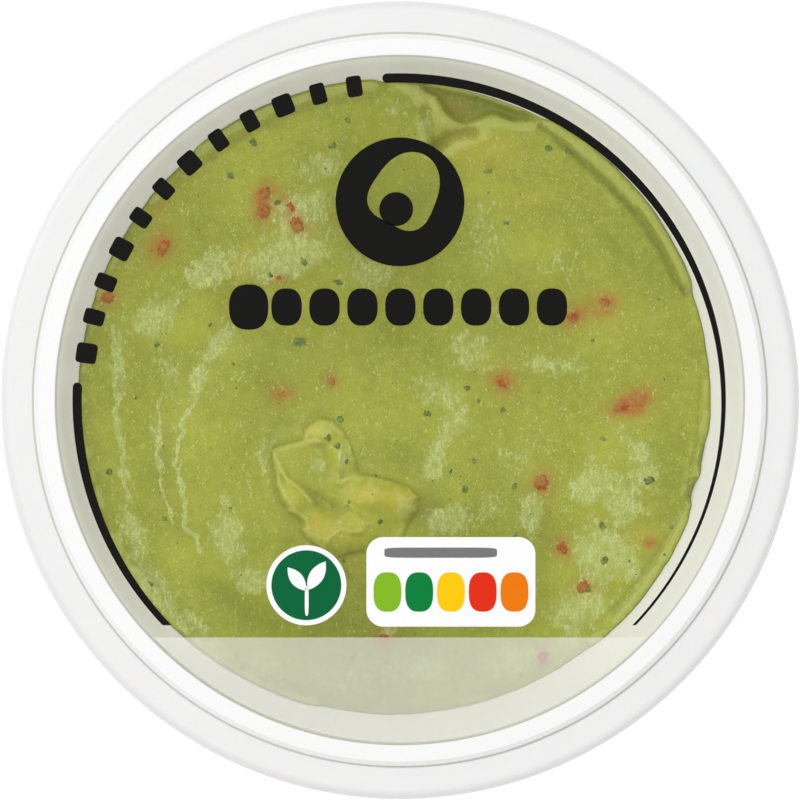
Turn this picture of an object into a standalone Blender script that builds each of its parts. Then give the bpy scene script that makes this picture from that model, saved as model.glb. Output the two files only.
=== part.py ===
"""Guacamole in its round tub, sealed with a clear film.

Metres, +Z up. The origin is on the tub's axis, in the plane that the tub stands on.
Three solids: the tub, the dip inside it and the film across its sealing rim.
"""

from math import atan2, cos, degrees, exp, hypot, pi, radians, sin, tan

import bpy

# Driving dimensions
OUTER_DIAMETER = 0.118      # across the tub's outer flange
RIM_HEIGHT = 0.039          # sealing rim above the table
OPENING_RADIUS = 0.0507     # inner edge of the sealing rim
SEAL_WIDTH = 0.0026         # flat land that the film is welded to
WALL = 0.0008               # moulded wall
SHOULDER_DRAFT = 28.0       # lean of the wall's upper part, degrees
SHOULDER_DEPTH = 0.0108     # how far that part goes down from the rim
DRAFT = 6.0                 # lean of the wall below it, degrees
FLANGE_DROP = 0.0008        # outer flange below the sealing rim
FLANGE_ROUND = 0.0016       # rounding of the flange's outer edge
SKIRT = 0.0045              # depth of the flange's turned-down edge
BASE_PANEL_RADIUS = 0.033   # raised middle of the underside
BASE_PANEL_RISE = 0.0008
BASE_CORNER = 0.0035        # rounding between wall and base
FILL_DEPTH = 0.0088         # dip's level below the rim, away from the wall
FILM_THICKNESS = 0.0003
FILM_RADIUS = 0.0536
GAP = 0.0003                # left between touching solids
STEPS = 72                  # facets round the axis

OUTER_RADIUS = OUTER_DIAMETER / 2
SHOULDER_SLOPE = tan(radians(SHOULDER_DRAFT))
SLOPE = tan(radians(DRAFT))
LEVEL = RIM_HEIGHT - FILL_DEPTH
FLOOR = BASE_PANEL_RISE + WALL
EPSILON = 1e-6


def clear_scene():
    for item in list(bpy.data.objects):
        bpy.data.objects.remove(item, do_unlink=True)


def new_collection(name):
    collection = bpy.data.collections.new(name)
    bpy.context.scene.collection.children.link(collection)
    return collection


def principled(name, colour, roughness, alpha=1.0):
    material = bpy.data.materials.new(name)
    material.use_nodes = True
    shader = material.node_tree.nodes["Principled BSDF"]
    shader.inputs["Base Color"].default_value = (*colour, 1.0)
    shader.inputs["Roughness"].default_value = roughness
    shader.inputs["Metallic"].default_value = 0.0
    shader.inputs["Alpha"].default_value = alpha
    return material


def inner_wall_radius(z):
    """Radius of the tub's inner wall at a height: a leaning shoulder, then a steeper taper."""
    depth = RIM_HEIGHT - z
    shoulder = min(depth, SHOULDER_DEPTH)
    return OPENING_RADIUS - SHOULDER_SLOPE * shoulder - SLOPE * (depth - shoulder)


def arc(centre_r, centre_z, radius, start, end, steps=4):
    """Points of an arc in the r, z plane, angles in degrees from +r towards +z."""
    angles = [radians(start + (end - start) * n / steps) for n in range(steps + 1)]
    return [(centre_r + radius * cos(a), centre_z + radius * sin(a)) for a in angles]


def wall_corner(radius, z_bottom, wall_offset):
    """Arc between the tapered wall and a level bottom, from the wall inwards.

    wall_offset moves the wall line outwards from the tub's inner wall.
    """
    lean = radians(DRAFT)
    centre_z = z_bottom + radius
    touch_z = centre_z - radius * sin(lean)
    centre_r = inner_wall_radius(touch_z) + wall_offset - radius * cos(lean)
    return arc(centre_r, centre_z, radius, -DRAFT, -90)


def shoulder_end(wall_offset):
    """The bend where the wall's shoulder meets its taper, moved outwards by wall_offset."""
    z = RIM_HEIGHT - SHOULDER_DEPTH
    return inner_wall_radius(z) + wall_offset, z


def turned_body(name, profile, material, collection):
    """A body of revolution. The r, z points run from its top on the axis down its outer side."""
    mesh = bpy.data.meshes.new(name)
    edges = [(n, n + 1) for n in range(len(profile) - 1)]
    mesh.from_pydata([(r, 0.0, z) for r, z in profile], edges, [])
    body = bpy.data.objects.new(name, mesh)
    body.data.materials.append(material)
    collection.objects.link(body)
    screw = body.modifiers.new("turn", "SCREW")
    screw.axis = "Z"
    screw.angle = 2 * pi
    screw.steps = screw.render_steps = STEPS
    screw.use_merge_vertices = True
    screw.merge_threshold = 0.00005
    screw.use_smooth_shade = True
    return body


# The tub

def tub_profile():
    """Floor, inner wall, sealing rim, flange with its skirt, outer wall and underside."""
    inside = [(0.0, FLOOR)] + wall_corner(BASE_CORNER - WALL, FLOOR, 0.0)[::-1]
    inside += [shoulder_end(0.0)]

    seal_edge = OPENING_RADIUS + SEAL_WIDTH
    flange_z = RIM_HEIGHT - FLANGE_DROP
    rim_round = 0.0004
    rim = [
        (OPENING_RADIUS, RIM_HEIGHT - rim_round),
        (OPENING_RADIUS + rim_round, RIM_HEIGHT),
        (seal_edge, RIM_HEIGHT),
        (seal_edge + 0.0006, RIM_HEIGHT - 0.0004),
        (seal_edge + 0.0009, flange_z),
    ]
    flange = arc(OUTER_RADIUS - FLANGE_ROUND, flange_z - FLANGE_ROUND, FLANGE_ROUND, 90, 0)

    under_z = flange_z - WALL
    skirt_z = flange_z - SKIRT
    skirt_inner = OUTER_RADIUS - WALL
    fillet = FLANGE_ROUND - WALL
    skirt = [(OUTER_RADIUS, skirt_z), (skirt_inner, skirt_z)]
    skirt += arc(skirt_inner - fillet, under_z - fillet, fillet, 0, 90, 2)
    skirt += [(inner_wall_radius(under_z) + WALL, under_z), shoulder_end(WALL)]

    foot = wall_corner(BASE_CORNER, 0.0, WALL)
    underside = [
        (BASE_PANEL_RADIUS + BASE_PANEL_RISE, 0.0),
        (BASE_PANEL_RADIUS, BASE_PANEL_RISE),
        (0.0, BASE_PANEL_RISE),
    ]
    return inside + rim + flange + skirt + foot + underside


def make_tub(collection):
    plastic = principled("white_polypropylene", (0.87, 0.87, 0.86), 0.38)
    turned_body("tub", tub_profile(), plastic, collection)


# The dip's top: heights above its level, in metres, each from a place on the tub

def smooth(value):
    """Smooth step from 0 to 1."""
    t = min(max(value, 0.0), 1.0)
    return t * t * (3 - 2 * t)


def mound(x, y, centre, size, turn, height):
    """A soft round-shouldered mound: height * exp(-q^2), q the squared elliptic distance."""
    a = radians(turn)
    u = (cos(a) * (x - centre[0]) + sin(a) * (y - centre[1])) / size[0]
    v = (cos(a) * (y - centre[1]) - sin(a) * (x - centre[0])) / size[1]
    q = u * u + v * v
    return height * exp(-q * q)


def distance_to_path(x, y, path):
    """Shortest distance to a path of straight stretches, and on which side (left is positive)."""
    best, side = 1.0, 1.0
    for (ax, ay), (bx, by) in zip(path, path[1:]):
        dx, dy = bx - ax, by - ay
        t = min(max(((x - ax) * dx + (y - ay) * dy) / (dx * dx + dy * dy), 0.0), 1.0)
        gap = hypot(x - ax - t * dx, y - ay - t * dy)
        if gap < best:
            best = gap
            side = 1.0 if dx * (y - ay) - dy * (x - ax) > 0 else -1.0
    return best, side


SWIRL_MIDDLE = (-0.008, -0.012)


def swirl(x, y):
    """A shallow bowl left by the spoon, with one groove that spirals out of it."""
    depth, reach, groove_depth, groove_pitch = 0.0012, 0.022, 0.0005, 0.016
    dx, dy = x - SWIRL_MIDDLE[0], y - SWIRL_MIDDLE[1]
    r = hypot(dx, dy)
    bowl = -depth * exp(-(r / reach) ** 2)
    phase = 2 * pi * r / groove_pitch - atan2(dy, dx)
    return bowl + groove_depth * cos(phase) * smooth(r / 0.012) * smooth((0.040 - r) / 0.014)


# Each lobe of the dollop: centre, half length and half width, turn in degrees, height
CURL_LOBES = [
    ((-0.0123, -0.0120), (0.0068, 0.0060), -20, 0.0029),
    ((-0.0170, -0.0088), (0.0030, 0.0016), 150, 0.0032),
    ((-0.0120, -0.0049), (0.0028, 0.0020), 0, 0.0016),
    ((-0.0015, -0.0143), (0.0048, 0.0033), -8, 0.0030),
    ((-0.0055, -0.0140), (0.0045, 0.0038), 0, 0.0026),
    ((-0.0090, -0.0196), (0.0052, 0.0036), 10, 0.0026),
]


def curl(x, y):
    """The dollop in the bowl: the highest of its lobes at each place."""
    return max(mound(x, y, *lobe) for lobe in CURL_LOBES)


FOLD_PATH = [(0.0020, 0.0480), (0.0049, 0.0448), (0.0065, 0.0422), (0.0097, 0.0406),
             (0.0139, 0.0419), (0.0168, 0.0409), (0.0230, 0.0440)]
LIP_PATH = [(0.0209, 0.0411), (0.0264, 0.0383), (0.0309, 0.0345), (0.0357, 0.0293),
            (0.0386, 0.0251), (0.0415, 0.0206), (0.0433, 0.0162)]


def fold(x, y):
    """The mass folded over at the back: a rolled ridge, and a lower ledge beyond it."""
    gap, side = distance_to_path(x, y, FOLD_PATH)
    ledge = -0.0026 * smooth(gap / 0.0015) if side > 0 and y > 0.038 else 0.0
    ridge = 0.0010 * exp(-(gap / 0.0022) ** 2)
    pocket = mound(x, y, (0.0070, 0.0388), (0.0032, 0.0014), -40, -0.0016)
    return ledge + ridge + pocket


def lip(x, y):
    """A thin lip left standing along the wall, with a groove inside it."""
    gap, side = distance_to_path(x, y, LIP_PATH)
    groove = -0.0010 * exp(-((gap - 0.0012) / 0.0010) ** 2) if side < 0 else 0.0
    return 0.0006 * exp(-(gap / 0.0010) ** 2) + groove


def tongue(angle, start, end, reach):
    """A stretch of the edge, between two angles in degrees, that reaches further out."""
    middle, half = (start + end) / 2, (end - start) / 2
    away = abs((degrees(angle) - middle + 180) % 360 - 180)
    return reach * smooth((half + 2.0 - away) / 4.0)


def edge_radius(angle):
    """Where the dip's top meets the wall: highest up the shoulder at -X, lowest at +X."""
    r = 0.0469 - 0.00075 * cos(angle) + 0.00025 * sin(angle)
    r += tongue(angle, 94, 130, 0.0005) + tongue(angle, 205, 255, 0.00035)
    r += tongue(angle, 23, 60, 0.0003) + tongue(angle, 308, 338, 0.00025)
    return r + tongue(angle, 341, 353, -0.0006)


def edge_height(angle):
    """Height of the shoulder at the edge's radius, with the gap between dip and tub."""
    return RIM_HEIGHT - (OPENING_RADIUS - GAP - edge_radius(angle)) / SHOULDER_SLOPE


def top_height(x, y):
    """Height of the dip's top: from its edge on the wall to its level, with all its relief."""
    angle = atan2(y, x)
    out = min(hypot(x, y) / edge_radius(angle), 1.0)
    plain = LEVEL + (edge_height(angle) - LEVEL) * smooth((out - 0.7) / 0.3)
    crown = 0.0008 * (1 - out) + 0.0007 * smooth((1 - out) / 0.05)
    inner = smooth((1 - out) / 0.08)
    relief = swirl(x, y) * inner + curl(x, y) + fold(x, y) + lip(x, y)
    return plain + crown + relief * smooth((1 - out) / 0.02)


def guacamole_profile():
    """Top at its plain level, then the side and bottom, a gap clear of the tub all round."""
    fine, coarse = 0.0010, 0.0026
    edge = inner_wall_radius(LEVEL) - GAP
    radii = [edge - fine * n for n in range(1, 5)]
    while radii[-1] > 1.5 * coarse:
        radii.append(radii[-1] - coarse)
    top = [(0.0, LEVEL)] + [(r, LEVEL) for r in reversed(radii)] + [(edge, LEVEL)]
    corner = wall_corner(BASE_CORNER - WALL, FLOOR + GAP, -GAP)
    return top + [shoulder_end(-GAP)] + corner + [(0.0, FLOOR + GAP)]


def make_guacamole(collection):
    paste = principled("guacamole", (0.36, 0.39, 0.07), 0.42)
    blank = turned_body("guacamole_blank", guacamole_profile(), paste, collection)
    graph = bpy.context.evaluated_depsgraph_get()
    mesh = bpy.data.meshes.new_from_object(blank.evaluated_get(graph))
    bpy.data.objects.remove(blank, do_unlink=True)
    blank_edge = inner_wall_radius(LEVEL) - GAP
    for vertex in mesh.vertices:
        x, y, z = vertex.co
        if abs(z - LEVEL) < EPSILON:
            share = edge_radius(atan2(y, x)) / blank_edge
            x, y = x * share, y * share
            vertex.co = (x, y, top_height(x, y))
    mesh.name = "guacamole"
    dip = bpy.data.objects.new("guacamole", mesh)
    collection.objects.link(dip)


# The film

def make_film(collection):
    """A flat disc across the rim; its edge lies on the seal land."""
    clear = principled("clear_film", (0.95, 0.95, 0.93), 0.15, 0.25)
    under = RIM_HEIGHT + GAP
    top = under + FILM_THICKNESS
    profile = [(0.0, top), (FILM_RADIUS, top), (FILM_RADIUS, under), (0.0, under)]
    turned_body("lid_film", profile, clear, collection)


clear_scene()
parts = new_collection("guacamole_tub")
make_tub(parts)
make_guacamole(parts)
make_film(parts)
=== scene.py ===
from math import pi, radians

import bpy
import numpy as np
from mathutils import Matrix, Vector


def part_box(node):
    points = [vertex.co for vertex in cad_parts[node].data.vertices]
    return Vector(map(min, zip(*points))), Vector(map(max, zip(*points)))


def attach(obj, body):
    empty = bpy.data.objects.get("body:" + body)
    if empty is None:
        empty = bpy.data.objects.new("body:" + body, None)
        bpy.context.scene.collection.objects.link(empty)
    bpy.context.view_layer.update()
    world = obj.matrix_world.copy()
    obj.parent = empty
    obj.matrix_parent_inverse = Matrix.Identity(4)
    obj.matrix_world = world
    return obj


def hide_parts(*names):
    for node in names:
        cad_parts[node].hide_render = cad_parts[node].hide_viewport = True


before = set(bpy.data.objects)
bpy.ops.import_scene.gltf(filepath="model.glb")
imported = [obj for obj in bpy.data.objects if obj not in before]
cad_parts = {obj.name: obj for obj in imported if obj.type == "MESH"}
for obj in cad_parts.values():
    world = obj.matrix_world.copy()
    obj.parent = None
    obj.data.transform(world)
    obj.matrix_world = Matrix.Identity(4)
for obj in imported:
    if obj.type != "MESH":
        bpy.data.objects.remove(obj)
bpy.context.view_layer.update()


# Camera, light and floor
# The tub stands on a plain pale floor in soft light from all round, a little stronger from the
# upper left, and is seen from straight above through a long lens, its flange just inside the frame.

MM = 0.001
tub_low, tub_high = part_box("tub")
FLANGE_RADIUS = (tub_high.x - tub_low.x) / 2
WIDEST_HEIGHT = tub_high.z - 3.2 * MM
LENS, SENSOR = 300.0, 36.0
FRAME_SHARE = 0.9975
LENS_DISTANCE = FLANGE_RADIUS / FRAME_SHARE * 2 * LENS / SENSOR

camera_data = bpy.data.cameras.new("camera")
camera_data.lens = LENS
camera_data.sensor_width = SENSOR
camera_data.clip_end = 20.0
camera = bpy.data.objects.new("camera", camera_data)
camera.location = (0.0, 0.0, WIDEST_HEIGHT + LENS_DISTANCE)
bpy.context.scene.collection.objects.link(camera)
bpy.context.scene.camera = camera

bpy.context.scene.view_settings.view_transform = "Standard"
SKY_LEVEL = 0.855
world = bpy.data.worlds.new("studio")
world.use_nodes = True
world.node_tree.nodes["Background"].inputs["Color"].default_value = (1.0, 1.0, 1.0, 1.0)
world.node_tree.nodes["Background"].inputs["Strength"].default_value = SKY_LEVEL
bpy.context.scene.world = world


def soft_box(name, place, size, power):
    """A square lamp that faces the tub."""
    data = bpy.data.lights.new(name, "AREA")
    data.shape = "SQUARE"
    data.size = size
    data.energy = power
    lamp = bpy.data.objects.new(name, data)
    lamp.location = place
    lamp.rotation_euler = lamp.location.to_track_quat("Z", "Y").to_euler()
    bpy.context.scene.collection.objects.link(lamp)


soft_box("key_box", (-0.62, 0.38, 0.80), 0.40, 2.6)

FLOOR_HALF = 3.0
floor_mesh = bpy.data.meshes.new("floor")
floor_corners = [(-FLOOR_HALF, -FLOOR_HALF), (FLOOR_HALF, -FLOOR_HALF), (FLOOR_HALF, FLOOR_HALF),
                 (-FLOOR_HALF, FLOOR_HALF)]
floor_mesh.from_pydata([(x, y, tub_low.z) for x, y in floor_corners], [], [(0, 1, 2, 3)])
floor = bpy.data.objects.new("floor", floor_mesh)
bpy.context.scene.collection.objects.link(floor)
floor_paint = bpy.data.materials.new("floor_paint")
floor_paint.use_nodes = True
floor_shader = floor_paint.node_tree.nodes["Principled BSDF"]
floor_shader.inputs["Base Color"].default_value = (0.93, 0.93, 0.93, 1.0)
floor_shader.inputs["Roughness"].default_value = 0.9
floor_shader.inputs["Emission Color"].default_value = (1.0, 1.0, 1.0, 1.0)
floor_shader.inputs["Emission Strength"].default_value = 0.40
floor_mesh.materials.append(floor_paint)


# Tub
# One injection moulding in white polypropylene: a flat seal land round the opening, a step down to
# a rounded flange with a turned-down skirt, a leaning shoulder, a tapered wall and a raised base.
# Its colour carries painted light: a lighter, greener inside as light bounced off the dip, a brighter
# seal land, and painted shade on the flange's curve, in two thin lines at the rim and over the
# outside wall, which is also greener below the dip's level, where the dip shows faintly through it.
# Lengths from here on are millimetres until they go into a mesh.

RIM = tub_high.z / MM
OPENING = 50.7
SEAL_WIDTH = 2.6
WALL = 0.8
SHOULDER_SLOPE = np.tan(radians(28.0))
SHOULDER_DEPTH = 10.8
TAPER_SLOPE = np.tan(radians(6.0))
FLANGE_DROP = 0.8
SKIRT = 4.5
BASE_PANEL_RADIUS = 33.0
BASE_PANEL_RISE = 0.8
LEVEL = RIM - 8.8
TUB_COLUMNS = 256


class Value:
    """A node's output socket. Python's operators on it add Math nodes."""

    def __init__(self, finish, socket):
        self.finish = finish
        self.socket = socket

    def maths(self, operation, first, second=0.0):
        return self.finish.node("ShaderNodeMath", {"operation": operation}, {0: first, 1: second})

    def __add__(self, other):
        return self.maths("ADD", self, other)

    def __radd__(self, other):
        return self.maths("ADD", other, self)

    def __sub__(self, other):
        return self.maths("SUBTRACT", self, other)

    def __rsub__(self, other):
        return self.maths("SUBTRACT", other, self)

    def __mul__(self, other):
        return self.maths("MULTIPLY", self, other)

    def __rmul__(self, other):
        return self.maths("MULTIPLY", other, self)

    def __abs__(self):
        return self.maths("ABSOLUTE", self)


class Finish:
    """A material around one Principled shader, with its node tree built by expressions."""

    def __init__(self, name, fixed):
        self.material = bpy.data.materials.new(name)
        self.material.use_nodes = True
        self.tree = self.material.node_tree
        self.shader = self.tree.nodes["Principled BSDF"]
        for socket, value in fixed.items():
            self.feed(self.shader.inputs[socket], value)

    def feed(self, socket, value):
        if isinstance(value, Value):
            self.tree.links.new(value.socket, socket)
        elif socket.type == "RGBA":
            socket.default_value = (*value, 1.0)
        else:
            socket.default_value = value

    def node(self, kind, settings, sockets, out=0):
        """A node of this type: its settings first, then the values or links of its sockets."""
        made = self.tree.nodes.new(kind)
        for name, value in settings.items():
            setattr(made, name, value)
        for key, value in sockets.items():
            self.feed(made.inputs[key], value)
        return Value(self, made.outputs[out])

    def place(self):
        return self.node("ShaderNodeTexCoord", {}, {}, "Object")

    def from_axis(self):
        """Distance from the tub's axis, in millimetres."""
        flat = self.node("ShaderNodeVectorMath", {"operation": "MULTIPLY"},
                         {0: self.place(), 1: (1 / MM, 1 / MM, 0.0)})
        return self.node("ShaderNodeVectorMath", {"operation": "LENGTH"}, {0: flat}, "Value")

    def height(self):
        """Height over the table, in millimetres."""
        return self.node("ShaderNodeSeparateXYZ", {}, {0: self.place()}, "Z") * (1 / MM)

    def stretched(self, x, y, z):
        """Places scaled by these factors, so that a pattern is long where its factor is small."""
        return self.node("ShaderNodeVectorMath", {"operation": "MULTIPLY"},
                         {0: self.place(), 1: (x, y, z)})

    def painted(self, name):
        """A number stored on the piece's own points."""
        return self.node("ShaderNodeAttribute", {"attribute_name": name}, {}, "Fac")

    def noise(self, size, detail=4.0, roughness=0.5, distortion=0.0, place=None):
        """Cloudy pattern whose blotches are about this many millimetres across."""
        sockets = {"Vector": place or self.place(), "Scale": 1 / (size * MM), "Detail": detail,
                   "Roughness": roughness, "Distortion": distortion}
        return self.node("ShaderNodeTexNoise", {}, sockets, "Fac")

    def step(self, value, low, high):
        """0 below low, 1 above high, and a smooth rise between them."""
        sockets = {"Value": value, "From Min": low, "From Max": high}
        settings = {"interpolation_type": "SMOOTHSTEP"}
        return self.node("ShaderNodeMapRange", settings, sockets, "Result")

    def blend(self, share, first, second):
        """Colour that goes from first to second as share goes from 0 to 1."""
        return self.node("ShaderNodeMix", {"data_type": "RGBA"}, {0: share, 6: first, 7: second}, 2)

    def bump(self, height, depth, strength=1.0, under=None):
        """Surface relief: height times depth, in millimetres."""
        sockets = {"Height": height, "Distance": depth * MM, "Strength": strength}
        if under:
            sockets["Normal"] = under
        return self.node("ShaderNodeBump", {}, sockets, "Normal")

    def drive(self, **links):
        """Links to the shader's own sockets, named with _ for a space."""
        for name, value in links.items():
            self.feed(self.shader.inputs[name.replace("_", " ")], value)


def add_piece(name, vertices, faces, finish):
    """A mesh in the scene, its vertices in millimetres, carried by the root."""
    mesh = bpy.data.meshes.new(name)
    mesh.from_pydata((vertices * MM).tolist(), [], faces)
    mesh.materials.append(finish.material)
    piece = bpy.data.objects.new(name, mesh)
    bpy.context.scene.collection.objects.link(piece)
    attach(piece, "root")
    return piece


def single_corners(faces):
    """Faces as lists in which a corner that was doubled at a pole comes once."""
    return [list(dict.fromkeys(corners)) for corners in faces.tolist()]


def grid_piece(name, points, finish, stands_for=(), painted=None, closed=True):
    """A smooth mesh through a grid of points, rows by columns, in millimetres.

    Neighbouring rows and columns are joined by four-sided faces, the last column to the first
    when closed. A first or last row that is all one point becomes a pole of triangles.
    """
    rows, columns = points.shape[:2]
    index = np.arange(rows * columns).reshape(rows, columns)
    for end in (0, -1):
        if closed and np.ptp(points[end], axis=0).max() < 1e-9:
            index[end] = index[end, 0]
    here, there = (index, np.roll(index, -1, axis=1)) if closed else (index[:, :-1], index[:, 1:])
    faces = np.stack([here[:-1], here[1:], there[1:], there[:-1]], axis=-1).reshape(-1, 4)
    used, faces = np.unique(faces, return_inverse=True)
    faces = single_corners(faces.reshape(-1, 4))
    piece = add_piece(name, points.reshape(-1, 3)[used], faces, finish)
    for key, values in (painted or {}).items():
        layer = piece.data.attributes.new(key, "FLOAT", "POINT")
        layer.data.foreach_set("value", values.reshape(-1)[used].astype(np.float32))
    piece.data.shade_smooth()
    if stands_for:
        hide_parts(*stands_for)
    return piece


def rounded(corners, steps=6):
    """An outline in r, z through corner points (r, z, rounding).

    Each corner is cut back by its rounding along both legs and bridged by a parabola, with one
    more point on each leg just beyond, so that the flat stretch between corners shades flat.
    """
    outline = []
    for n, (r, z, rounding) in enumerate(corners):
        corner = np.array([r, z])
        if rounding == 0:
            outline.append(corner)
            continue
        before = np.array(corners[n - 1][:2]) - corner
        after = np.array(corners[n + 1][:2]) - corner
        before /= np.hypot(*before)
        after /= np.hypot(*after)
        support = 1.15 * rounding
        outline.append(corner + support * before)
        for t in np.linspace(0, 1, steps + 1):
            outline.append(corner + rounding * ((1 - t) ** 2 * before + t ** 2 * after))
        outline.append(corner + support * after)
    return np.array(outline)


def turned(outline, columns):
    """Points of a body of revolution: each outline point (r, z) at each angle round the axis."""
    angle = np.linspace(0, 2 * pi, columns, endpoint=False)
    r, z = outline[:, :1], outline[:, 1:]
    return np.stack([r * np.cos(angle), r * np.sin(angle), z + 0 * angle], axis=-1)


def wall_radius(z):
    """Inner wall's radius at a height: the shoulder near the rim, the steeper taper below it."""
    depth = RIM - z
    shoulder = np.minimum(depth, SHOULDER_DEPTH)
    return OPENING - SHOULDER_SLOPE * shoulder - TAPER_SLOPE * (depth - shoulder)


floor_z = BASE_PANEL_RISE + WALL
bend_z = RIM - SHOULDER_DEPTH
seal_edge = OPENING + SEAL_WIDTH
flange_z = RIM - FLANGE_DROP
flange_edge = FLANGE_RADIUS / MM
under_z = flange_z - WALL
tub_corners = [
    (0.0, floor_z, 0),
    (wall_radius(floor_z), floor_z, 2.7),
    (wall_radius(bend_z), bend_z, 1.2),
    (OPENING, RIM - 0.15, 0.15),
    (OPENING + 0.25, RIM, 0.15),
    (seal_edge, RIM, 0.12),
    (seal_edge + 0.65, RIM - 0.40, 0.12),
    (seal_edge + 0.72, flange_z - 0.12, 0.08),
    (seal_edge + 0.92, flange_z - 0.12, 0.06),
    (seal_edge + 1.00, flange_z, 0.08),
    (flange_edge, flange_z, 1.6),
    (flange_edge, flange_z - SKIRT, 0.25),
    (flange_edge - WALL, flange_z - SKIRT, 0.25),
    (flange_edge - WALL, under_z, 0.8),
    (wall_radius(under_z) + WALL, under_z, 0.5),
    (wall_radius(bend_z) + WALL, bend_z, 1.4),
    (wall_radius(0.0) + WALL, 0.0, 3.4),
    (BASE_PANEL_RADIUS + BASE_PANEL_RISE, 0.0, 0.3),
    (BASE_PANEL_RADIUS, BASE_PANEL_RISE, 0.3),
    (3.2, BASE_PANEL_RISE, 0.2),
    (2.9, BASE_PANEL_RISE - 0.25, 0.2),
    (0.0, BASE_PANEL_RISE - 0.25, 0),
]

tub_plastic = Finish("white_polypropylene", {
    "Roughness": 0.38, "IOR": 1.49, "Subsurface Weight": 0.12, "Subsurface Scale": 0.4 * MM})
mottle = tub_plastic.noise(7.0, 3.0)
grain = tub_plastic.noise(0.35, 3.0, 0.6)
from_axis = tub_plastic.from_axis()
over_rim = tub_plastic.height()
tub_white = tub_plastic.blend(mottle, (0.860, 0.860, 0.855), (0.880, 0.880, 0.875))
# Painted light: inside the opening the white is lighter and greener, standing in for light bounced off the
# dip onto the inner wall.
inside = 1 - tub_plastic.step(from_axis, OPENING - 0.15, OPENING + 0.05)
tub_white = tub_plastic.blend(inside, tub_white, (0.935, 0.935, 0.895))
# Painted shade: the flange's rounded outer edge is painted darker, where it turns away from the light.
flange_curve = tub_plastic.step(from_axis, flange_edge - 1.7, flange_edge)
tub_white = tub_plastic.blend(flange_curve, tub_white, (0.720, 0.720, 0.720))
# Painted light: the flat seal land, which faces the light, is painted brighter than the rest of the
# moulding.
land = tub_plastic.step(from_axis, OPENING + 0.1, OPENING + 0.3)
land = land * (1 - tub_plastic.step(from_axis, seal_edge - 0.1, seal_edge + 0.1))
tub_white = tub_plastic.blend(land, tub_white, (0.985, 0.985, 0.985))
# Painted shade: the outside wall is painted darker than the white plastic, and greener below the dip's
# level, where the dip shows faintly through it.
behind = tub_plastic.step(over_rim, LEVEL - 5.0, LEVEL + 3.0)
outer_wall_shade_and_tint = tub_plastic.blend(behind, (0.640, 0.665, 0.565), (0.700, 0.705, 0.675))
tub_white = tub_plastic.blend(tub_plastic.painted("outside"), tub_white, outer_wall_shade_and_tint)
# Painted shade: thin grey-green lines at the opening's edge and in the step down to the flange, standing in
# for the shade in those corners.
for line, half, shade in ((OPENING + 0.02, 0.22, 0.55), (seal_edge + 0.82, 0.20, 0.50)):
    thin = 1 - tub_plastic.step(abs(from_axis - line), 0.3 * half, half)
    thin = thin * tub_plastic.step(over_rim, RIM - 2.2, RIM - 2.0)
    tub_white = tub_plastic.blend(thin * shade, tub_white, (0.480, 0.510, 0.330))
tub_plastic.drive(Base_Color=tub_white, Roughness=0.30 + 0.16 * grain,
                  Normal=tub_plastic.bump(grain, 0.012, 0.35))
tub_outline = rounded(tub_corners)
outline_r, outline_z = tub_outline.T
outside = (outline_r > wall_radius(outline_z) + 0.5 * WALL) & (outline_z < under_z + 0.1)
outside = (outside & (outline_r < seal_edge)) | (outline_z < 0.5 * floor_z)
grid_piece("tub_moulding", turned(tub_outline, TUB_COLUMNS), tub_plastic, ["tub"],
           {"outside": np.repeat(outside * 1.0, TUB_COLUMNS)})


# Guacamole
# Smooth mashed avocado, spooned in and left as it fell: a shallow swirl, a curled dollop, a fold
# at the back, a lip along the back right wall and an edge that creeps up the tub's shoulder.

CURL_MIDDLE = np.array([-9.0, -13.0])


def smooth(value):
    """Smooth step from 0 to 1."""
    t = np.clip(value, 0, 1)
    return t * t * (3 - 2 * t)


def cloudy(x, y, size, seed, octaves=3):
    """Smooth noise from -1 to 1: random heights on a square lattice of this spacing, blended
    by a smooth step between its corners, plus half as much at half the spacing, and so on."""
    total, weight = 0.0, 0.0
    for octave in range(octaves):
        table = np.random.default_rng(seed + octave).uniform(-1, 1, (97, 97))
        u, v = x / size * 2 ** octave, y / size * 2 ** octave
        i, j = np.floor(u).astype(int), np.floor(v).astype(int)
        a, b = smooth(u - i), smooth(v - j)
        i0, i1, j0, j1 = i % 97, (i + 1) % 97, j % 97, (j + 1) % 97
        low = table[i0, j0] * (1 - a) + table[i1, j0] * a
        high = table[i0, j1] * (1 - a) + table[i1, j1] * a
        total = total + (low * (1 - b) + high * b) / 2 ** octave
        weight += 1 / 2 ** octave
    return total / weight


def mound(x, y, centre, size, turn, height, shoulder=2.0):
    """height * exp(-q ** shoulder), with q the squared distance in the ellipse's own units."""
    a = radians(turn)
    u = (np.cos(a) * (x - centre[0]) + np.sin(a) * (y - centre[1])) / size[0]
    v = (np.cos(a) * (y - centre[1]) - np.sin(a) * (x - centre[0])) / size[1]
    return height * np.exp(-(u * u + v * v) ** shoulder)


def from_path(x, y, path):
    """Distance to a path of straight stretches, and the same with a sign: left is positive."""
    nearest = np.full(np.shape(x), 1e3)
    side = np.ones(np.shape(x))
    for (ax, ay), (bx, by) in zip(path, path[1:]):
        dx, dy = bx - ax, by - ay
        t = np.clip(((x - ax) * dx + (y - ay) * dy) / (dx * dx + dy * dy), 0, 1)
        gap = np.hypot(x - ax - t * dx, y - ay - t * dy)
        closer = gap < nearest
        side = np.where(closer, np.sign(dx * (y - ay) - dy * (x - ax)), side)
        nearest = np.where(closer, gap, nearest)
    return nearest, nearest * side


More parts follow.
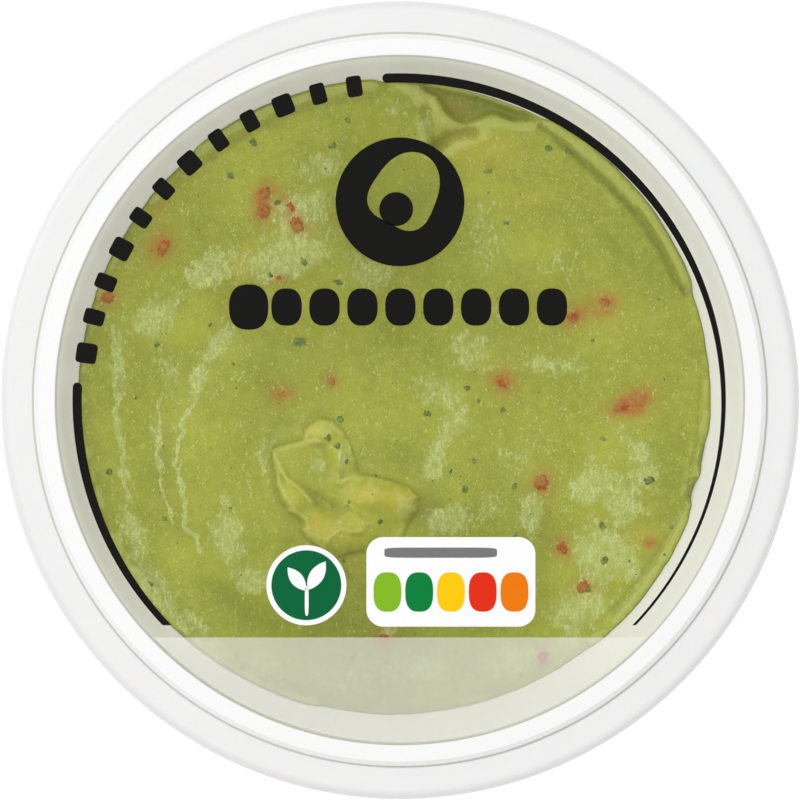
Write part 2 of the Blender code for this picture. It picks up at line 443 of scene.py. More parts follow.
def swirl(x, y):
    """A shallow bowl left by the spoon, with one groove that spirals out of it."""
    dx, dy = x + 8.0, y + 12.0
    r = np.hypot(dx, dy)
    bowl = -1.2 * np.exp(-(r / 22.0) ** 2)
    phase = 2 * pi * r / 16.0 - np.arctan2(dy, dx)
    strokes = 0.10 * np.sin(2 * pi * r / 1.9 + 1.5 * np.cos(phase)) * smooth((-x - 17) / 3)
    strokes = strokes * smooth((r - 8.5) / 1.5) * smooth((14.5 - r) / 3)
    return bowl + 0.5 * np.cos(phase) * smooth(r / 12) * smooth((40 - r) / 14) + strokes


# The dollop's outline, from its pointed tip at the left, clockwise
CURL_OUTLINE = [
    (-19.1, -7.3), (-17.0, -6.5), (-14.4, -5.8), (-14.4, -4.2), (-13.2, -3.1), (-11.5, -2.7),
    (-9.9, -3.1), (-8.6, -4.4), (-7.4, -6.6), (-6.8, -9.0), (-6.2, -10.9), (-3.6, -11.5),
    (-1.0, -12.0), (1.4, -12.9), (2.8, -14.3), (2.5, -16.4), (1.2, -18.2), (0.3, -20.4),
    (-1.6, -21.9), (-4.5, -22.5), (-7.1, -22.6), (-9.3, -23.4), (-11.4, -22.3), (-13.9, -20.6),
    (-14.6, -19.4), (-14.5, -18.2), (-15.2, -17.3), (-16.5, -16.7), (-17.8, -15.2),
    (-18.3, -12.9), (-18.8, -10.0), (-19.1, -7.3)]
# Swellings inside it: centre, half length and half width, turn in degrees, height
CURL_LOBES = [
    ((-1.4, -14.8), (4.0, 2.6), -12, 1.9), ((-5.2, -14.4), (2.6, 2.2), 0, 1.0),
    ((-8.8, -19.7), (4.8, 2.6), 10, 1.5), ((-12.0, -4.4), (2.0, 1.4), 10, 0.6),
    ((-15.9, -14.4), (1.7, 2.4), 25, 0.9), ((-12.4, -9.4), (3.8, 3.0), -35, -0.8),
    ((-11.2, -15.4), (2.8, 1.3), -35, -0.9), ((-4.6, -18.9), (2.4, 1.2), -30, 0.6),
    ((-9.6, -9.4), (0.9, 2.6), 0, 0.5), ((-1.5, -19.8), (2.2, 1.8), 0, -0.3)]
# Thin ridges where the paste was torn: path, height
CURL_RIDGES = [
    ([(-18.9, -7.5), (-18.5, -9.7), (-18.0, -12.6), (-17.3, -14.3), (-16.5, -15.6)], 0.70),
    ([(-18.7, -8.0), (-17.8, -10.2), (-16.5, -11.9), (-14.6, -13.4), (-13.2, -15.2)], 0.75),
    ([(-18.9, -7.5), (-16.6, -6.8), (-14.0, -6.1), (-12.0, -6.1)], 0.60),
    ([(-14.0, -5.2), (-13.9, -4.0), (-12.9, -3.3), (-11.4, -3.0), (-10.0, -3.5)], 0.35),
    ([(-8.6, -6.6), (-8.9, -9.5), (-9.0, -12.2)], 0.40),
    ([(-8.9, -12.3), (-7.8, -11.8), (-6.4, -11.1)], 0.40),
    ([(-8.0, -15.2), (-6.9, -16.2), (-5.3, -18.4)], 0.40),
    ([(-10.8, -20.9), (-9.6, -19.6), (-8.6, -19.1), (-7.4, -19.5), (-6.0, -19.4)], 0.50),
    ([(-16.4, -16.5), (-14.9, -16.9), (-13.9, -17.7), (-13.7, -18.8), (-14.0, -19.6)], 0.50)]


def curl(x, y):
    """The dollop: steep at its outline, swollen and torn inside it, soft at its upper right."""
    wobble_x = x + 0.22 * cloudy(x, y, 1.9, 11)
    wobble_y = y + 0.22 * cloudy(x, y, 1.9, 15)
    gap, signed = from_path(wobble_x, wobble_y, CURL_OUTLINE)
    inward = np.where(signed < 0, gap, -gap)
    soft = 1.9 + mound(x, y, (-6.6, -6.8), (3.0, 4.4), 15, 2.4)
    inside = np.sqrt(1 - (1 - np.clip(inward / soft, 0, 1)) ** 2)
    skirt = 0.35 * np.exp(-(np.clip(-inward, 0, None) / 1.2) ** 1.5)
    body = 1.35 + sum(mound(wobble_x, wobble_y, *lobe, shoulder=1.3) for lobe in CURL_LOBES)
    for path, height in CURL_RIDGES:
        crest, _ = from_path(wobble_x, wobble_y, path)
        body = body + height * np.exp(-(crest / 0.40) ** 1.5)
    body = body + 0.16 * cloudy(x, y, 1.5, 21)
    return inside * body + skirt * smooth(1 - inside)


FOLD_PATH = [(1.5, 48.5), (3.4, 45.6), (5.0, 44.9), (6.4, 42.6), (8.0, 41.2), (9.9, 40.6),
             (11.8, 41.4), (13.9, 42.1), (16.9, 41.1), (20.9, 41.4), (23.0, 43.5)]
POCKET_PATH = [(5.2, 37.6), (7.4, 39.2), (10.4, 39.9)]
CREASE_PATH = [(4.2, 44.4), (4.0, 41.5), (4.7, 39.2), (5.4, 37.8)]
LIP_PATH = [(21.6, 41.2), (27.9, 36.3), (32.8, 31.8), (36.8, 27.6), (39.6, 23.4), (42.0, 18.6),
            (43.2, 16.2)]
LIP_GROOVE = [(20.8, 40.7), (22.2, 39.8), (27.2, 35.5), (32.1, 31.0), (35.9, 27.0), (38.5, 22.9),
              (41.0, 18.1), (42.6, 15.7)]
VALLEY_PATH = [(14.0, 34.2), (18.0, 32.4), (22.5, 31.0), (25.1, 28.2), (28.3, 26.4), (32.5, 22.6)]
FRONT_GROOVE = [(42.2, -15.6), (41.0, -18.4), (38.4, -22.6), (34.2, -28.2), (31.6, -31.4)]
RIGHT_GROOVE = [(44.7, 3.5), (44.4, -2.0), (43.8, -7.0), (43.2, -10.6)]


def fold(x, y):
    """The mass folded over at the back: a rolled ridge, a lower ledge beyond it, a pocket."""
    gap, signed = from_path(x, y, FOLD_PATH)
    ledge = -2.4 * smooth((signed + 0.2) / 1.3) * smooth((y - 37) / 2)
    ridge = 0.9 * np.exp(-((signed + 0.9) / 1.4) ** 2) * (gap < 6)
    ridge = ridge * smooth((13.0 - x) / 5)
    pocket, _ = from_path(x, y, POCKET_PATH)
    crease, _ = from_path(x, y, CREASE_PATH)
    hollows = -1.5 * np.exp(-(pocket / 1.1) ** 2) - 0.7 * np.exp(-(crease / 0.8) ** 2)
    return ledge + ridge + hollows


def lip(x, y):
    """A thin lip left standing along the wall, with a narrow groove inside it."""
    groove, _ = from_path(x + 0.15 * cloudy(x, y, 1.3, 33), y, LIP_GROOVE)
    crest, _ = from_path(x, y, LIP_PATH)
    along = 1 + 0.5 * cloudy(x, y, 1.4, 31)
    valley, _ = from_path(x, y, VALLEY_PATH)
    cut = -0.8 * np.exp(-(groove / 0.34) ** 2) - 0.35 * np.exp(-(valley / 2.2) ** 2)
    front, _ = from_path(x, y, FRONT_GROOVE)
    right, _ = from_path(x, y, RIGHT_GROOVE)
    cut = cut - 0.15 * np.exp(-(front / 0.35) ** 2) - 0.15 * np.exp(-(right / 0.28) ** 2)
    return 0.45 * along * np.exp(-(crest / 0.60) ** 2) + cut


def tongue(angle, start, end, reach):
    """A stretch of the edge, between two angles in degrees, that reaches further out."""
    middle, half = (start + end) / 2, (end - start) / 2
    away = np.abs((np.degrees(angle) - middle + 180) % 360 - 180)
    return reach * smooth((half + 1.5 - away) / 3.0)


def edge_radius(angle):
    """Where the dip would meet the wall: highest up the shoulder at -X, lowest at +X."""
    return 46.9 - 0.75 * np.cos(angle) + 0.25 * np.sin(angle)


def edge_reach(angle):
    """How much further out the dip's ragged edge really lies."""
    reach = tongue(angle, 94, 130, 0.5) + tongue(angle, 205, 255, 0.35)
    reach = reach + tongue(angle, 21, 62, 0.5) + tongue(angle, 308, 338, 0.35)
    reach = reach + tongue(angle, 341, 345, -0.6) + tongue(angle, 347, 353, -0.3)
    return reach + 0.12 * cloudy(20 * np.cos(angle), 20 * np.sin(angle), 0.9, 41)


def top_height(x, y):
    """Height of the dip's top: its plain level, the creep up the wall and all the relief."""
    angle = np.arctan2(y, x)
    edge = edge_radius(angle)
    out = np.hypot(x, y) / edge
    edge_z = RIM - (OPENING - edge) / SHOULDER_SLOPE
    plain = LEVEL + (edge_z - LEVEL) * smooth((out - 0.7) / 0.3) + 0.8 * np.clip(1 - out, 0, 1)
    from_edge = np.clip((edge + edge_reach(angle) - np.hypot(x, y)) / 0.9, 0, 1)
    creep = edge_reach(angle) / SHOULDER_SLOPE * smooth((out - 0.95) / 0.05)
    round_edge = 0.35 * np.sqrt(1 - (1 - from_edge) ** 2)
    relief = swirl(x, y) * smooth((1 - out) / 0.08) + curl(x, y) + fold(x, y) + lip(x, y)
    lumps = 0.22 * cloudy(x, y, 9.0, 51) + 0.09 * cloudy(x, y, 2.6, 55)
    height = plain + creep + round_edge + (relief + lumps) * smooth(from_edge * 1.2)
    return np.maximum(height, RIM - (OPENING - np.hypot(x, y)) / SHOULDER_SLOPE + 0.06)


DIP_COLUMNS, DIP_ROWS = 560, 150
dip_angle = np.linspace(0, 2 * pi, DIP_COLUMNS, endpoint=False)
dip_around = np.stack([np.cos(dip_angle), np.sin(dip_angle)], 1)
dip_share = np.linspace(0, 1, DIP_ROWS)[:, None, None]
dip_edge = edge_radius(dip_angle)[:, None] * dip_around
dip_plan = (1 - dip_share) * CURL_MIDDLE + dip_share * dip_edge
dip_plan += edge_reach(dip_angle)[:, None] * dip_around * smooth((dip_share - 0.93) / 0.07)
dip_top = np.concatenate([dip_plan, top_height(dip_plan[..., 0], dip_plan[..., 1])[..., None]], 2)
INTO_WALL = 0.05
side_z = dip_top[-1:, :, 2] + (floor_z - dip_top[-1:, :, 2]) * np.linspace(0.04, 1, 7)[:, None]
side_r = wall_radius(side_z) + INTO_WALL
dip_side = np.stack([side_r * np.cos(dip_angle), side_r * np.sin(dip_angle), side_z], 2)
dip_bottom = np.zeros((1, DIP_COLUMNS, 3)) + np.array([0, 0, floor_z])
dip_points = np.concatenate([dip_top, dip_side, dip_bottom])

# Red pepper dice: place, half length and half width, turn in degrees, and how far each one's
# middle stands over the paste, in half heights
PEPPERS = np.array([
    (-20.2, 31.0, 1.0, 0.8, 60, -0.60), (-20.4, 28.1, 1.1, 0.9, 80, -0.45),
    (-15.3, 26.0, 1.3, 0.9, -60, -0.50), (-16.2, 28.6, 1.1, 0.6, -65, -0.75),
    (-35.4, 22.8, 1.5, 1.1, 55, -0.75), (-43.5, 15.3, 1.0, 0.9, 0, -0.60),
    (25.7, 12.3, 1.1, 0.9, 20, -0.70), (30.5, 14.3, 1.3, 1.2, 0, -0.85),
    (15.3, 2.8, 1.3, 1.1, -30, -0.75), (33.1, -1.1, 1.5, 0.9, 15, -0.75),
    (35.8, 0.1, 1.2, 1.0, 40, -0.75), (21.1, -12.3, 1.0, 1.2, 0, -0.55),
    (24.1, -22.0, 1.1, 0.9, -60, -0.70), (27.2, -27.8, 1.0, 0.8, 30, -0.55),
    (21.2, -38.3, 1.1, 0.7, 65, -0.60), (-2.1, -35.7, 1.1, 0.9, 0, -0.85),
    (-10.3, 2.9, 0.7, 0.5, -40, -0.60), (-17.7, 0.9, 1.0, 0.8, 0, -0.90),
    (-18.1, 18.3, 0.6, 0.5, 0, -0.80), (37.2, -21.2, 0.8, 0.6, 0, -0.90), (-7.8, 26.5, 0.9, 0.8, 0, -0.80)])
# Places stained by pepper that lies deeper: centre, half length and half width, turn, strength
RED_STAINS = [
    ((-35.4, 28.6), (1.8, 1.4), 60, 0.45), ((-32.7, 31.4), (2.4, 0.9), 45, 0.35),
    ((-22.8, 20.4), (1.8, 0.5), 70, 0.35), ((-12.8, -18.1), (0.9, 0.4), 80, 0.5),
    ((-17.2, -10.6), (0.9, 0.4), -50, 0.5), ((12.0, 38.6), (2.0, 1.2), 0, 0.25),
    ((8.4, 43.2), (2.4, 1.1), -25, 0.55), ((-18.2, 18.0), (1.6, 0.9), 0, 0.35)]
# Wet patches, painted lighter as the sheen of light off the wet paste: centre, half length and half width,
# turn in degrees, strength
WET_SHEEN_PATCHES = [
    ((-11.7, 34.8), (4.6, 2.8), 20, 0.85), ((-15.0, 28.0), (5.6, 3.6), 10, 0.90),
    ((-17.0, 21.0), (8.4, 4.0), 15, 1.05), ((-28.4, 19.5), (4.4, 3.0), 35, 1.05),
    ((-36.6, 12.4), (5.4, 3.2), 35, 0.95), ((-41.7, 5.6), (1.1, 6.6), 4, 0.95),
    ((-26.6, 8.6), (4.6, 1.6), 48, 1.10), ((-30.0, 3.0), (3.0, 1.4), 70, 0.95),
    ((-34.8, 3.8), (3.4, 4.6), 0, 0.62), ((-4.3, 19.0), (4.6, 3.2), 0, 0.80),
    ((-36.4, -4.5), (1.6, 3.6), 10, 0.75), ((-25.5, -20.4), (2.9, 4.4), 15, 1.15),
    ((-25.7, -14.7), (1.3, 1.1), 0, 0.95), ((-22.0, -27.0), (3.0, 2.4), 10, 1.05),
    ((-39.6, -19.5), (5.0, 2.4), -68, 0.80), ((-36.6, -27.5), (5.6, 2.6), -55, 0.92),
    ((-30.5, -34.0), (5.4, 2.2), -40, 0.80), ((-21.0, -39.0), (5.0, 2.6), -20, 0.70),
    ((-10.0, -41.0), (5.0, 2.6), -10, 0.60), ((-1.5, -34.0), (1.6, 2.4), 0, 0.95),
    ((5.2, -9.0), (1.6, 4.2), -14, 1.15), ((8.3, -2.6), (3.0, 4.6), 0, 0.85),
    ((7.0, -17.8), (4.2, 2.4), 10, 1.15), ((13.4, -15.6), (2.2, 3.8), 0, 0.70),
    ((19.5, -17.0), (1.9, 3.4), 0, 1.20), ((17.0, -8.4), (3.4, 4.0), 0, 0.55),
    ((32.6, -4.6), (4.0, 1.4), -60, 0.75), ((28.4, -7.4), (1.2, 4.0), 0, 0.60),
    ((28.6, -12.6), (4.4, 3.0), 20, 1.15), ((33.4, -15.0), (3.2, 4.0), 0, 1.00),
    ((29.4, -22.5), (4.4, 5.0), 0, 1.10), ((34.0, -24.4), (2.6, 3.4), 20, 0.90),
    ((26.4, -31.0), (5.6, 3.4), 20, 1.00), ((16.4, -38.6), (6.4, 3.0), 10, 0.85),
    ((13.2, 24.0), (4.2, 5.4), 0, 0.68), ((10.4, 7.0), (5.4, 4.2), 0, 0.74),
    ((20.6, 5.4), (3.2, 1.8), 0, 0.76), ((-12.2, -9.8), (1.8, 1.6), 0, 0.95),
    ((-8.6, -9.0), (0.8, 2.6), 0, 0.85), ((1.0, -16.0), (1.2, 0.8), 0, 1.0),
    ((3.9, 40.6), (1.4, 2.6), 0, 0.90), ((-1.0, 43.0), (3.4, 2.4), 0, 0.55),
    ((4.4, 1.4), (4.0, 3.0), 0, 0.72), ((36.4, -9.4), (2.6, 4.4), 10, 0.86),
    ((25.4, 5.0), (3.6, 2.6), 0, 0.70), ((2.6, -39.6), (5.4, 2.4), 5, 0.85),
    ((25.0, -36.6), (3.6, 2.6), 30, 0.85), ((-27.4, -37.4), (3.4, 2.2), -35, 0.85),
    ((-20.4, -8.0), (1.2, 4.0), 0, 0.66), ((24.0, 20.0), (5.0, 3.0), 30, 0.58),
    ((-9.0, -18.6), (1.4, 2.0), 0, 0.75), ((13.8, 12.8), (6.0, 2.0), 0, 0.66)]
# Thin wet seams, painted lighter as sheen: path, half width
WET_SHEEN_SEAMS = [
    ([(-42.5, 11.0), (-42.2, 1.0), (-41.5, -6.1), (-40.9, -10.9), (-40.6, -15.0)], 0.55),
    ([(-31.0, 3.4), (-29.8, 1.0), (-32.1, -2.9), (-32.9, -6.1), (-33.4, -9.6), (-32.6, -12.5),
      (-31.9, -15.1), (-32.2, -18.9), (-30.3, -20.2), (-30.0, -22.4)], 0.50),
    ([(-35.6, 0.0), (-36.0, -7.0), (-35.4, -13.0), (-34.0, -18.0)], 0.40)]
# Painted shade in the swirl's hollows and in the shadows beside its heaps: centre, half length and half
# width, turn in degrees, strength
PAINTED_SHADE_PLACES = [
    ((-23.6, -30.6), (6.4, 3.0), -38, 0.9), ((-6.0, -33.6), (12.0, 2.6), 0, 0.7),
    ((-35.4, -9.0), (2.6, 6.0), 10, 0.7), ((4.4, -16.0), (2.0, 3.6), -12, 1.0),
    ((-14.6, 4.0), (9.0, 4.0), 10, 0.45), ((-17.6, -3.4), (3.0, 2.2), 30, 0.5),
    ((0.5, -8.5), (4.6, 2.4), -10, 0.7), ((21.0, -21.5), (2.2, 6.0), 0, 0.45),
    ((13.6, 43.2), (6.6, 1.8), -14, 0.8), ((35.6, 18.6), (5.0, 8.0), 20, 0.45),
    ((-30.6, 27.0), (7.0, 4.0), 50, 0.35), ((6.4, 38.2), (1.8, 1.0), 20, 1.0),
    ((-15.5, -17.4), (1.4, 1.2), 0, 0.6), ((40.0, -8.0), (3.0, 8.0), 0, 0.45),
    ((5.0, 2.0), (5.0, 4.0), 0, 0.35), ((-20.5, 5.0), (4.0, 4.6), 0, 0.40)]
# Yellower places in the paste: centre, half length and half width, turn in degrees, strength
YELLOW_PLACES = [
    ((11.5, 37.2), (6.0, 3.0), -8, 0.75), ((-4.7, -14.1), (2.6, 1.7), 0, 1.2),
    ((-9.2, -19.8), (4.6, 2.6), 0, 0.65), ((0.5, -14.8), (2.8, 2.4), 0, 0.75),
    ((-15.6, -14.2), (1.8, 2.4), 20, 0.45), ((-12.6, -4.4), (2.0, 1.2), 0, 0.6),
    ((-23.3, 20.3), (2.6, 1.0), 70, 0.8), ((4.8, 44.6), (1.6, 1.2), 0, 0.5),
    ((36.0, -20.4), (2.0, 2.4), 0, 0.5), ((-12.8, -18.1), (1.2, 0.6), 80, 1.2),
    ((20.0, 30.6), (5.0, 1.2), -10, 0.4)]


def spread(grid, times):
    """Each point's mean with its neighbours along rows and columns, taken again and again."""
    for _ in range(times):
        rows = np.concatenate([grid[:1], grid, grid[-1:]])
        grid = (rows[:-2] + rows[1:-1] + rows[2:]) / 3
        grid = (np.roll(grid, 1, axis=1) + grid + np.roll(grid, -1, axis=1)) / 3
    return grid


# Shares from 0 to about 1 on each point, for the finish: wet film with painted sheen, yellower paste,
# painted shade, red juice, how much it stands out from its neighbours (crest, for painted highlight
# and shade), and the dollop's heap
plan_x, plan_y = dip_points[..., 0], dip_points[..., 1]
wet_sheen = 1 - np.prod([1 - mound(plan_x, plan_y, *patch, shoulder=1.4).clip(0, 1)
                   for patch in WET_SHEEN_PATCHES], axis=0)
for path, half in WET_SHEEN_SEAMS:
    shift_x = plan_x + 0.7 * cloudy(plan_x, plan_y, 1.6, 91)
    wet_sheen = np.maximum(wet_sheen, 1.15 * np.exp(-(from_path(shift_x, plan_y, path)[0] / half) ** 2))
yellow = sum(mound(plan_x, plan_y, *place, shoulder=1.0) for place in YELLOW_PLACES)
painted_shade = sum(mound(plan_x, plan_y, *place, shoulder=1.0) for place in PAINTED_SHADE_PLACES)
plan_angle = np.arctan2(plan_y, plan_x)
near_edge = smooth((np.hypot(plan_x, plan_y) / edge_radius(plan_angle) - 0.93) / 0.06)
# Painted shadow of the wall on the paste near the edge on the left side.
painted_shade = np.maximum(painted_shade, 0.5 * near_edge * smooth(0.5 - 0.8 * np.cos(plan_angle)))
red = sum(mound(plan_x, plan_y, (x, y), (2.0 * a, 2.0 * b), turn, 1.0, shoulder=0.8)
          for x, y, a, b, turn, rise in PEPPERS)
red = red + sum(mound(plan_x, plan_y, *stain, shoulder=1.0) for stain in RED_STAINS)
heaped = smooth((curl(plan_x, plan_y) - 0.6) / 1.6)
# Painted shade along the lip's groove and in the pocket by the fold.
for path, strength, half in ((LIP_GROOVE, 0.9, 0.40), (POCKET_PATH, 0.8, 1.0)):
    painted_shade = np.maximum(painted_shade, strength * np.exp(-(from_path(plan_x, plan_y, path)[0] / half) ** 2))
top_rows = dip_points[:DIP_ROWS, :, 2]
crest = np.zeros(dip_points.shape[:2])
crest[:DIP_ROWS] = top_rows - spread(top_rows, 6)
crest = np.clip(crest / 0.10, -1, 1)

paste = Finish("mashed_avocado", {
    "IOR": 1.38, "Subsurface Weight": 0.10, "Subsurface Scale": 0.8 * MM,
    "Subsurface Radius": (1.0, 0.9, 0.3)})
wet_sheen_mask = paste.painted("wet_sheen")
flow = paste.noise(2.6, 5.0, 0.60, 0.4)
streaks = paste.noise(0.95, 6.0, 0.68, 0.45, paste.stretched(1.50, 0.75, 1.0))
fine = paste.noise(0.28, 4.0, 0.6, 0.3, paste.stretched(1.3, 0.85, 1.0))
patches = paste.step(wet_sheen_mask * 0.9 + 1.4 * (flow - 0.5) + 1.7 * (streaks - 0.5), 0.36, 0.92)
strokes = paste.step(streaks * 0.62 + fine * 0.60, 0.56, 0.72)
flecks = paste.step(streaks * 0.6 + fine * 0.6, 0.665, 0.75) * 0.8
shine = patches * (0.22 + 0.78 * strokes) + flecks * (1 - patches)
broad = paste.noise(16.0, 3.0, 0.5, 0.4)
mid = paste.noise(4.2, 5.0, 0.55, 0.5)
close = paste.noise(1.3, 5.0, 0.6, 0.3)
light_green, dark_green = (0.400, 0.435, 0.028), (0.298, 0.326, 0.015)
paste_green = paste.blend(paste.step(broad, 0.32, 0.68), dark_green, light_green)
paste_green = paste.blend(paste.step(mid, 0.35, 0.70) * 0.46, paste_green, (0.270, 0.298, 0.018))
paste_green = paste.blend(paste.step(close, 0.42, 0.70) * 0.42, paste_green, (0.455, 0.490, 0.060))
paste_green = paste.blend(paste.step(fine, 0.40, 0.66) * 0.22, paste_green, (0.510, 0.550, 0.095))
# Painted shade: darker in hollows, in shadows beside the heaps and by the wall.
paste_green = paste.blend(paste.painted("painted_shade") * 0.55, paste_green, (0.205, 0.232, 0.016))
paste_green = paste.blend(paste.painted("heaped") * 0.50, paste_green, (0.480, 0.500, 0.050))
paste_green = paste.blend(paste.painted("yellow") * 0.55, paste_green, (0.590, 0.470, 0.035))
halo = paste.painted("red") * (0.42 + 0.66 * paste.step(close * 0.5 + fine * 0.5, 0.38, 0.62))
paste_green = paste.blend(paste.step(halo, 0.0, 1.1), paste_green, (0.450, 0.140, 0.015))
# Painted highlight: wet patches, seams and streaks are painted lighter, as sheen off the wet paste; the
# shine also lowers the roughness.
soft_sheen = paste.step(wet_sheen_mask + 0.5 * (flow - 0.5), 0.45, 1.0)
paste_green = paste.blend(soft_sheen * 0.42, paste_green, (0.430, 0.485, 0.125))
paste_green = paste.blend(shine * 0.86, paste_green, (0.590, 0.665, 0.245))
# Painted highlight on crests and ridges, and painted shade at their feet and in narrow hollows.
crest_mask = paste.painted("crest")
paste_green = paste.blend(paste.step(crest_mask, 0.4, 1.0) * 0.34, paste_green, (0.620, 0.670, 0.200))
paste_green = paste.blend(paste.step(0 - crest_mask, 0.2, 1.0) * 0.28, paste_green, (0.190, 0.215, 0.015))
paste_bump = paste.bump(mid, 0.25, 0.6)
paste_bump = paste.bump(streaks * patches, 0.12, 0.7, paste_bump)
paste_bump = paste.bump(fine * 0.5 + close, 0.07, 0.5, paste_bump)
paste.drive(Base_Color=paste_green, Roughness=0.44 - 0.12 * shine, Normal=paste_bump)
grid_piece("guacamole_dip", dip_points, paste, ["guacamole"],
           {"wet_sheen": wet_sheen, "yellow": yellow, "painted_shade": painted_shade, "red": red, "crest": crest,
            "heaped": heaped})


# Pepper, herbs and specks
# Diced red pepper sits half sunk in the paste, under a smear of it. Chopped coriander lies on top
# in thin flakes, with ground spice between.

def pebble(across, around, squareness):
    """A closed rounded block: a sphere's grid whose sines and cosines are raised to a power
    below 1, which squares its sides."""
    u = np.linspace(-pi / 2, pi / 2, across)[:, None]
    v = np.linspace(0, 2 * pi, around, endpoint=False)[None, :]

    def bent(value):
        return np.sign(value) * np.abs(value) ** squareness

    return np.stack([bent(np.cos(u)) * bent(np.cos(v)), bent(np.cos(u)) * bent(np.sin(v)),
                     bent(np.sin(u)) + 0 * v], axis=-1)


def turns(heading, lean):
    """Turning matrices: a heading about the upright, after a lean about the X axis."""
    c, s, cl, sl = np.cos(heading), np.sin(heading), np.cos(lean), np.sin(lean)
    zero = np.zeros(len(heading))
    spin = np.array([[c, -s, zero], [s, c, zero], [zero, zero, zero + 1]]).transpose(2, 0, 1)
    tip = np.array([[zero + 1, zero, zero], [zero, cl, -sl], [zero, sl, cl]]).transpose(2, 0, 1)
    return spin @ tip


def scattered(name, form, places, halves, headings, rise, finish, seed, tilt=16, ragged=0.12):
    """Copies of one closed form in one mesh: each sized, turned and set on the dip's top.

    halves are each copy's half sizes, headings its turn in degrees, and rise is how far its
    middle stands over the surface. Each point is moved in or out by up to the ragged share.
    """
    rng = np.random.default_rng(seed)
    count = len(places)
    rows, columns = form.shape[:2]
    shapes = form[None] * halves[:, None, None, :]
    shapes = shapes * (1 + ragged * rng.uniform(-1, 1, (count, rows, columns, 1)))
    shapes[:, 0], shapes[:, -1] = shapes[:, 0, :1], shapes[:, -1, :1]
    lean = radians(tilt) * rng.uniform(-1, 1, count)
    shapes = np.einsum("nij,nrcj->nrci", turns(np.radians(headings), lean), shapes)
    middles = np.column_stack([places, top_height(places[:, 0], places[:, 1]) + rise])
    shapes = shapes + middles[:, None, None, :]
    index = np.arange(rows * columns).reshape(rows, columns)
    index[0], index[-1] = index[0, 0], index[-1, 0]
    there = np.roll(index, -1, axis=1)
    faces = np.stack([index[:-1], there[:-1], there[1:], index[1:]], axis=-1).reshape(-1, 4)
    faces = (faces[None] + (np.arange(count) * rows * columns)[:, None, None]).reshape(-1, 4)
    used, faces = np.unique(faces, return_inverse=True)
    faces = single_corners(faces.reshape(-1, 4))
    add_piece(name, shapes.reshape(-1, 3)[used], faces, finish).data.shade_smooth()


PEPPER_SCALE, PEPPER_SUNK = 1.08, 0.12
pepper_halves = PEPPER_SCALE * np.column_stack([PEPPERS[:, 2], PEPPERS[:, 3], 0.95 * PEPPERS[:, 3]])
pepper_skin = Finish("red_pepper", {"Roughness": 0.60, "Specular IOR Level": 0.1})
pepper_mix = pepper_skin.noise(1.1, 4.0)
smear = pepper_skin.step(pepper_skin.noise(0.9, 5.0, 0.6), 0.38, 0.60)
pepper_red = pepper_skin.blend(pepper_mix, (0.430, 0.045, 0.005), (0.450, 0.110, 0.012))
pepper_skin.drive(Base_Color=pepper_skin.blend(smear * 0.78, pepper_red, (0.420, 0.270, 0.050)),
                  Normal=pepper_skin.bump(pepper_mix, 0.15, 0.5))
scattered("red_pepper_dice", pebble(15, 20, 0.72), PEPPERS[:, :2], pepper_halves, PEPPERS[:, 4],
          (PEPPERS[:, 5] - PEPPER_SUNK) * pepper_halves[:, 2], pepper_skin, 62, tilt=24,
          ragged=0.16)

# Herb flakes: place, half length and half width
HERBS = np.array([
    (-22.0, 38.5, 1.0, 0.45), (-10.1, 37.9, 0.60, 0.50), (-2.9, 38.0, 0.30, 0.25),
    (-7.9, 41.6, 0.55, 0.35), (-18.1, 29.4, 0.65, 0.40), (-19.6, 31.6, 0.30, 0.25),
    (-14.4, 20.6, 0.70, 0.55), (-9.0, 17.6, 0.80, 0.50), (-19.3, 18.6, 0.50, 0.35),
    (-14.9, 8.5, 1.15, 0.80), (-28.2, 11.2, 0.30, 0.25), (-36.3, 8.2, 0.55, 0.40),
    (-24.7, 5.3, 0.30, 0.22), (13.0, 34.1, 0.60, 0.40), (22.1, 37.3, 0.55, 0.50),
    (24.8, 36.8, 0.35, 0.30), (15.8, 26.4, 0.45, 0.35), (11.4, 45.1, 0.45, 0.25),
    (13.2, 30.8, 0.25, 0.20), (38.4, 14.9, 0.25, 0.22), (28.6, 8.8, 0.30, 0.25),
    (9.7, 1.7, 0.60, 0.35), (11.7, -0.2, 0.32, 0.25), (15.3, -1.6, 0.60, 0.45),
    (4.2, -1.9, 0.60, 0.45), (11.0, -9.0, 0.45, 0.35), (7.6, -10.6, 0.35, 0.25),
    (17.1, -12.8, 0.65, 0.35), (9.7, -13.2, 0.55, 0.40), (30.2, -5.8, 0.50, 0.35),
    (37.0, -12.0, 0.80, 0.55), (30.2, -18.8, 0.85, 0.55), (30.2, -23.8, 0.80, 0.50),
    (28.0, -28.3, 0.55, 0.35), (34.1, -23.9, 0.25, 0.20), (39.3, -23.0, 0.25, 0.22),
    (40.5, -18.9, 0.45, 0.35), (17.2, -20.0, 0.50, 0.25), (-43.3, -10.6, 0.75, 0.40),
    (-39.3, 0.3, 0.30, 0.25), (-35.0, -17.6, 0.45, 0.40), (-37.1, -27.2, 0.60, 0.35),
    (-25.2, -16.1, 0.25, 0.20), (-9.4, -6.9, 0.55, 0.45), (-10.8, -5.4, 0.60, 0.50),
    (-9.0, -3.0, 0.60, 0.45), (-8.0, -9.2, 0.40, 0.30), (-7.6, -15.3, 0.50, 0.25),
    (-3.2, -18.1, 0.60, 0.35), (-3.6, -11.4, 0.35, 0.22), (-8.3, -23.9, 0.35, 0.25),
    (-7.0, -38.4, 0.40, 0.30), (4.8, -36.0, 0.40, 0.25), (-25.4, 33.4, 0.70, 0.45)])
herb_rng = np.random.default_rng(71)
herb_halves = np.column_stack([HERBS[:, 2], HERBS[:, 3], herb_rng.uniform(0.07, 0.13, len(HERBS))])
